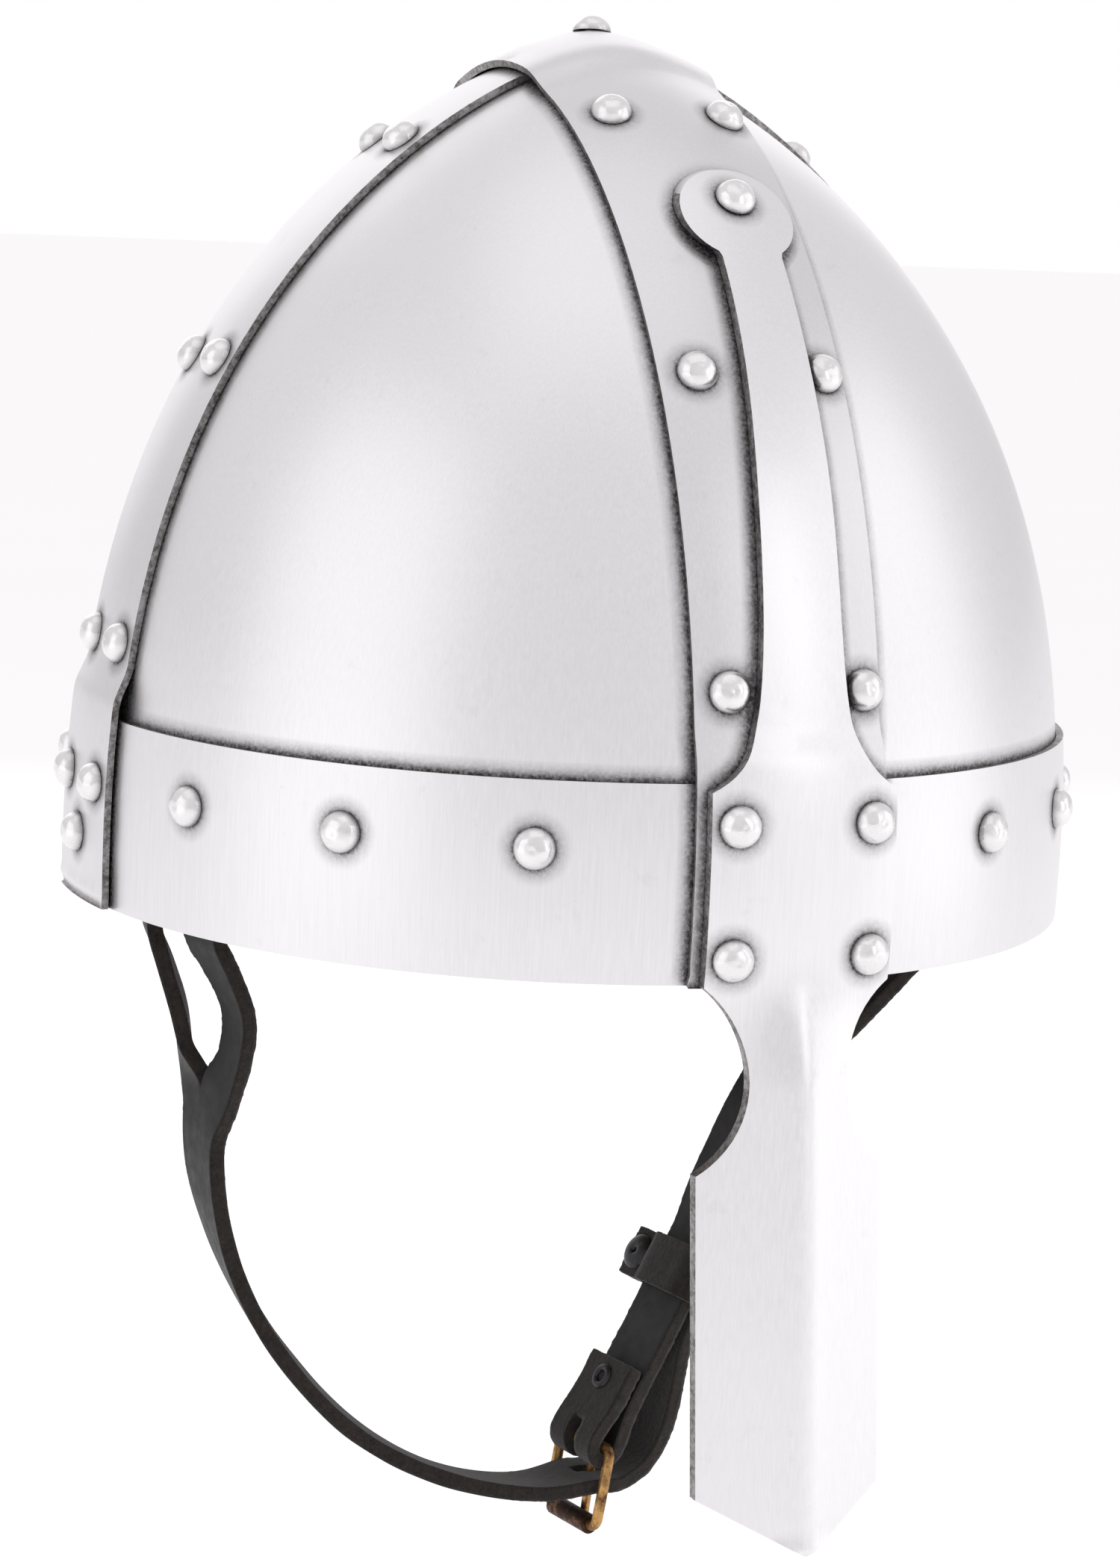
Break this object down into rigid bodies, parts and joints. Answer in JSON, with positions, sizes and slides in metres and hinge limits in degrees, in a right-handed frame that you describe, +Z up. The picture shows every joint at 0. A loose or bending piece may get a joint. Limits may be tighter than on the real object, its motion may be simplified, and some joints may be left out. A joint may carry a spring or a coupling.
{
  "type": "spangenhelm with nasal guard",
  "caption": "Riveted steel spangenhelm: dome panels under crossed ribs and a brow band, nasal guard, leather liner and buckled chin strap.",
  "frame": {"origin": "centre of the rim plane, where the lower edge of the brow band ends", "axes": "+Z up through the crown, -Y out of the face, +X towards the wearer's left"},
  "size_m": [0.2242, 0.2466, 0.3174],
  "materials": {
    "panel_steel": "satin brushed, dark patina in the seams",
    "rib_steel": "satin brushed, dark patina along the edges",
    "band_steel": "satin brushed, dark patina along the edges",
    "nasal_steel": "satin brushed, dark patina round the rivets",
    "rivet_steel": "bright hammered heads",
    "washer_steel": "plain",
    "liner_leather": "natural brown, matt",
    "strap_leather": "black, smooth face with raw edges",
    "aged_brass": "antique, worn bright on the edges",
    "dark_bronze": "dark brown, antique",
    "blackened_metal": "black, satin"
  },
  "bodies": {
    "root": {"brow_band": "band_steel", "cross_rib": "rib_steel", "dome_panel_front_left": "panel_steel", "dome_panel_front_right": "panel_steel", "dome_panel_rear_left": "panel_steel", "dome_panel_rear_right": "panel_steel", "liner_band": "liner_leather", "liner_crown_ring": "liner_leather", "liner_tongue_1": "liner_leather", "liner_tongue_2": "liner_leather", "liner_tongue_3": "liner_leather", "liner_tongue_4": "liner_leather", "liner_tongue_5": "liner_leather", "liner_tongue_6": "liner_leather", "liner_tongue_7": "liner_leather", "liner_tongue_8": "liner_leather", "main_rib": "rib_steel", "nasal_guard": "nasal_steel", "rivet_crown": "rivet_steel", "rivets_band": "rivet_steel", "rivets_front_rib": "rivet_steel", "rivets_left_rib": "rivet_steel", "rivets_nasal": "rivet_steel", "rivets_rear_rib": "rivet_steel", "rivets_right_rib": "rivet_steel", "strap_anchor_front_left": "strap_leather", "strap_anchor_front_right": "strap_leather", "strap_anchor_rear_left": "strap_leather", "strap_anchor_rear_right": "strap_leather", "washers": "washer_steel"},
    "chin_strap": {"strap_long": "strap_leather", "strap_buckle_side": "strap_leather", "strap_fork_right": "strap_leather", "strap_fork_left": "strap_leather", "flap_rivet": "aged_brass"},
    "keeper": {"strap_keeper": "strap_leather", "keeper_stud": "blackened_metal"},
    "buckle": {"buckle_frame": "aged_brass"},
    "prong": {"buckle_prong": "aged_brass"},
    "roller": {"buckle_roller": "dark_bronze"}
  },
  "joints": [
    {"name": "chin_strap_swing", "type": "hinge", "parent": "root", "child": "chin_strap", "pos_m": [0, -0.031, 0.003], "axis": [1, 0, 0], "range_deg": [-15, 15]},
    {"name": "buckle_swing", "type": "hinge", "parent": "chin_strap", "child": "buckle", "pos_m": [-0.0082, -0.045, -0.1125], "axis": [0.1577, -0.9874, 0.0123], "range_deg": [-7, 7]},
    {"name": "prong_swing", "type": "hinge", "parent": "buckle", "child": "prong", "pos_m": [-0.0082, -0.045, -0.1125], "axis": [0.1577, -0.9874, 0.0123], "range_deg": [0, 8]},
    {"name": "roller_spin", "type": "hinge", "parent": "buckle", "child": "roller", "pos_m": [-0.01118, -0.04568, -0.12882], "axis": [0.1577, -0.9874, 0.0123], "continuous": true},
    {"name": "keeper_slide", "type": "slide", "parent": "chin_strap", "child": "keeper", "axis": [0.5006, 0.0906, 0.8609], "range_m": [-0.005, 0.006]}
  ]
}
